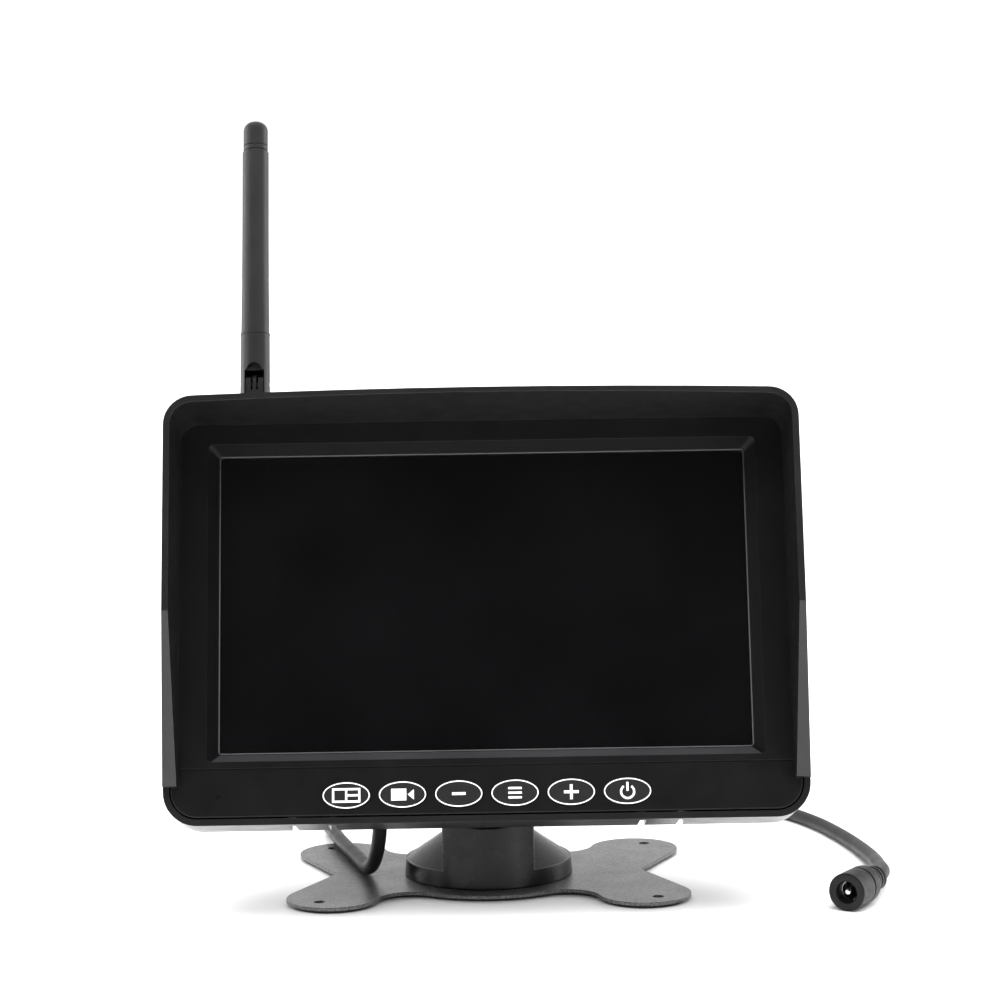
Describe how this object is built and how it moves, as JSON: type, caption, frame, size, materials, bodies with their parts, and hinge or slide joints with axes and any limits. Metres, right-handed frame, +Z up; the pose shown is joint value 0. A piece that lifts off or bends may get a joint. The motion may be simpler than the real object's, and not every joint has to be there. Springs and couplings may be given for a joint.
{
  "type": "wireless reversing camera monitor",
  "caption": "Dash-top wireless reversing monitor with a clip-on sun hood, folding antenna, row of keys, swivel and tilt stand on a thin base plate, and a power lead.",
  "frame": {"origin": "on the underside of the adhesive pad, on the swivel axis of the stand", "axes": "+Z up, the screen faces -Y and leans back, +X to the viewer's right"},
  "size_m": [0.2167, 0.1756, 0.2363],
  "materials": {
    "case_plastic": "fine satin texture",
    "stand_plastic": "fine satin texture",
    "knob_plastic": "satin",
    "screen_glass": "switched off, dark gloss under an anti-glare polariser",
    "backlight_steel": "bright pressed steel",
    "circuit_board": "green solder mask",
    "component_black": "moulded epoxy",
    "shield_tin": "tinned",
    "lead_black": "smooth",
    "screw_steel": "zinc plated",
    "lens_clear": "clear",
    "key_rubber": "satin, with printed white symbols",
    "gland_rubber": "satin",
    "jack_brass": "gold plated",
    "nut_nickel": "bright nickel",
    "barrel_plastic": "satin",
    "antenna_plastic": "smooth satin",
    "plate_steel": "fine satin black powder coat",
    "pad_foam": "closed-cell adhesive foam",
    "rivet_steel": "zinc plated",
    "washer_nylon": "natural nylon",
    "cable_jacket": "satin vinyl",
    "socket_plastic": "fine leathery texture"
  },
  "bodies": {
    "stand": {"pedestal": "stand_plastic", "swivel_washer": "washer_nylon", "swivel_rivet": "rivet_steel", "power_cable": "cable_jacket", "dc_socket_body": "socket_plastic", "dc_socket_relief": "gland_rubber", "dc_socket_contact": "nut_nickel", "dc_socket_pin": "nut_nickel"},
    "base": {"base_plate": "plate_steel", "adhesive_pad": "pad_foam"},
    "monitor": {"front_bezel": "case_plastic", "rear_case": "case_plastic", "sun_hood": "case_plastic", "lcd_panel": "screen_glass", "lcd_backlight": "backlight_steel", "key_board": "circuit_board", "tact_switches": "component_black", "main_board": "circuit_board", "board_parts": "component_black", "rf_shield": "shield_tin", "rf_coax": "lead_black", "case_screws": "screw_steel", "status_lens": "lens_clear", "cable_gland": "gland_rubber", "antenna_jack": "jack_brass", "antenna_jack_nut": "nut_nickel", "tilt_head": "stand_plastic", "tilt_nut": "screw_steel"},
    "tilt_clamp": {"tilt_bolt": "screw_steel", "tilt_knob": "knob_plastic"},
    "antenna_swivel": {"antenna_barrel": "barrel_plastic", "antenna_knuckle": "barrel_plastic"},
    "antenna_mast": {"antenna_fork": "antenna_plastic", "antenna_sheath": "antenna_plastic", "antenna_cap": "antenna_plastic", "antenna_element": "jack_brass", "antenna_hinge_pin": "nut_nickel"},
    "key_mode": {"key_mode": "key_rubber"},
    "key_channel": {"key_channel": "key_rubber"},
    "key_minus": {"key_minus": "key_rubber"},
    "key_menu": {"key_menu": "key_rubber"},
    "key_plus": {"key_plus": "key_rubber"},
    "key_power": {"key_power": "key_rubber"}
  },
  "joints": [
    {"name": "base_swivel", "type": "hinge", "parent": "stand", "child": "base", "pos_m": [0, 0, 0.002], "axis": [0, 0, 1], "continuous": true},
    {"name": "monitor_tilt", "type": "hinge", "parent": "stand", "child": "monitor", "pos_m": [0, 0, 0.0555], "axis": [-1, 0, 0], "range_deg": [-12, 25], "deforming": ["power_cable"]},
    {"name": "tilt_knob_turn", "type": "hinge", "parent": "monitor", "child": "tilt_clamp", "pos_m": [0.016, 0, 0.0555], "axis": [1, 0, 0], "range_deg": [0, 540]},
    {"name": "antenna_turn", "type": "hinge", "parent": "monitor", "child": "antenna_swivel", "pos_m": [-0.0698, 0.00172, 0.13466], "axis": [0, 0.2924, 0.9563], "range_deg": [-180, 180]},
    {"name": "antenna_fold", "type": "hinge", "parent": "antenna_swivel", "child": "antenna_mast", "pos_m": [-0.0698, 0.00771, 0.15426], "axis": [1, 0, 0], "range_deg": [0, 90]},
    {"name": "key_mode_press", "type": "slide", "parent": "monitor", "child": "key_mode", "axis": [0, 0.9563, -0.2924], "range_m": [0, 0.00035], "stiffness_N_per_m": 600},
    {"name": "key_channel_press", "type": "slide", "parent": "monitor", "child": "key_channel", "axis": [0, 0.9563, -0.2924], "range_m": [0, 0.00035], "stiffness_N_per_m": 600},
    {"name": "key_minus_press", "type": "slide", "parent": "monitor", "child": "key_minus", "axis": [0, 0.9563, -0.2924], "range_m": [0, 0.00035], "stiffness_N_per_m": 600},
    {"name": "key_menu_press", "type": "slide", "parent": "monitor", "child": "key_menu", "axis": [0, 0.9563, -0.2924], "range_m": [0, 0.00035], "stiffness_N_per_m": 600},
    {"name": "key_plus_press", "type": "slide", "parent": "monitor", "child": "key_plus", "axis": [0, 0.9563, -0.2924], "range_m": [0, 0.00035], "stiffness_N_per_m": 600},
    {"name": "key_power_press", "type": "slide", "parent": "monitor", "child": "key_power", "axis": [0, 0.9563, -0.2924], "range_m": [0, 0.00035], "stiffness_N_per_m": 600}
  ]
}
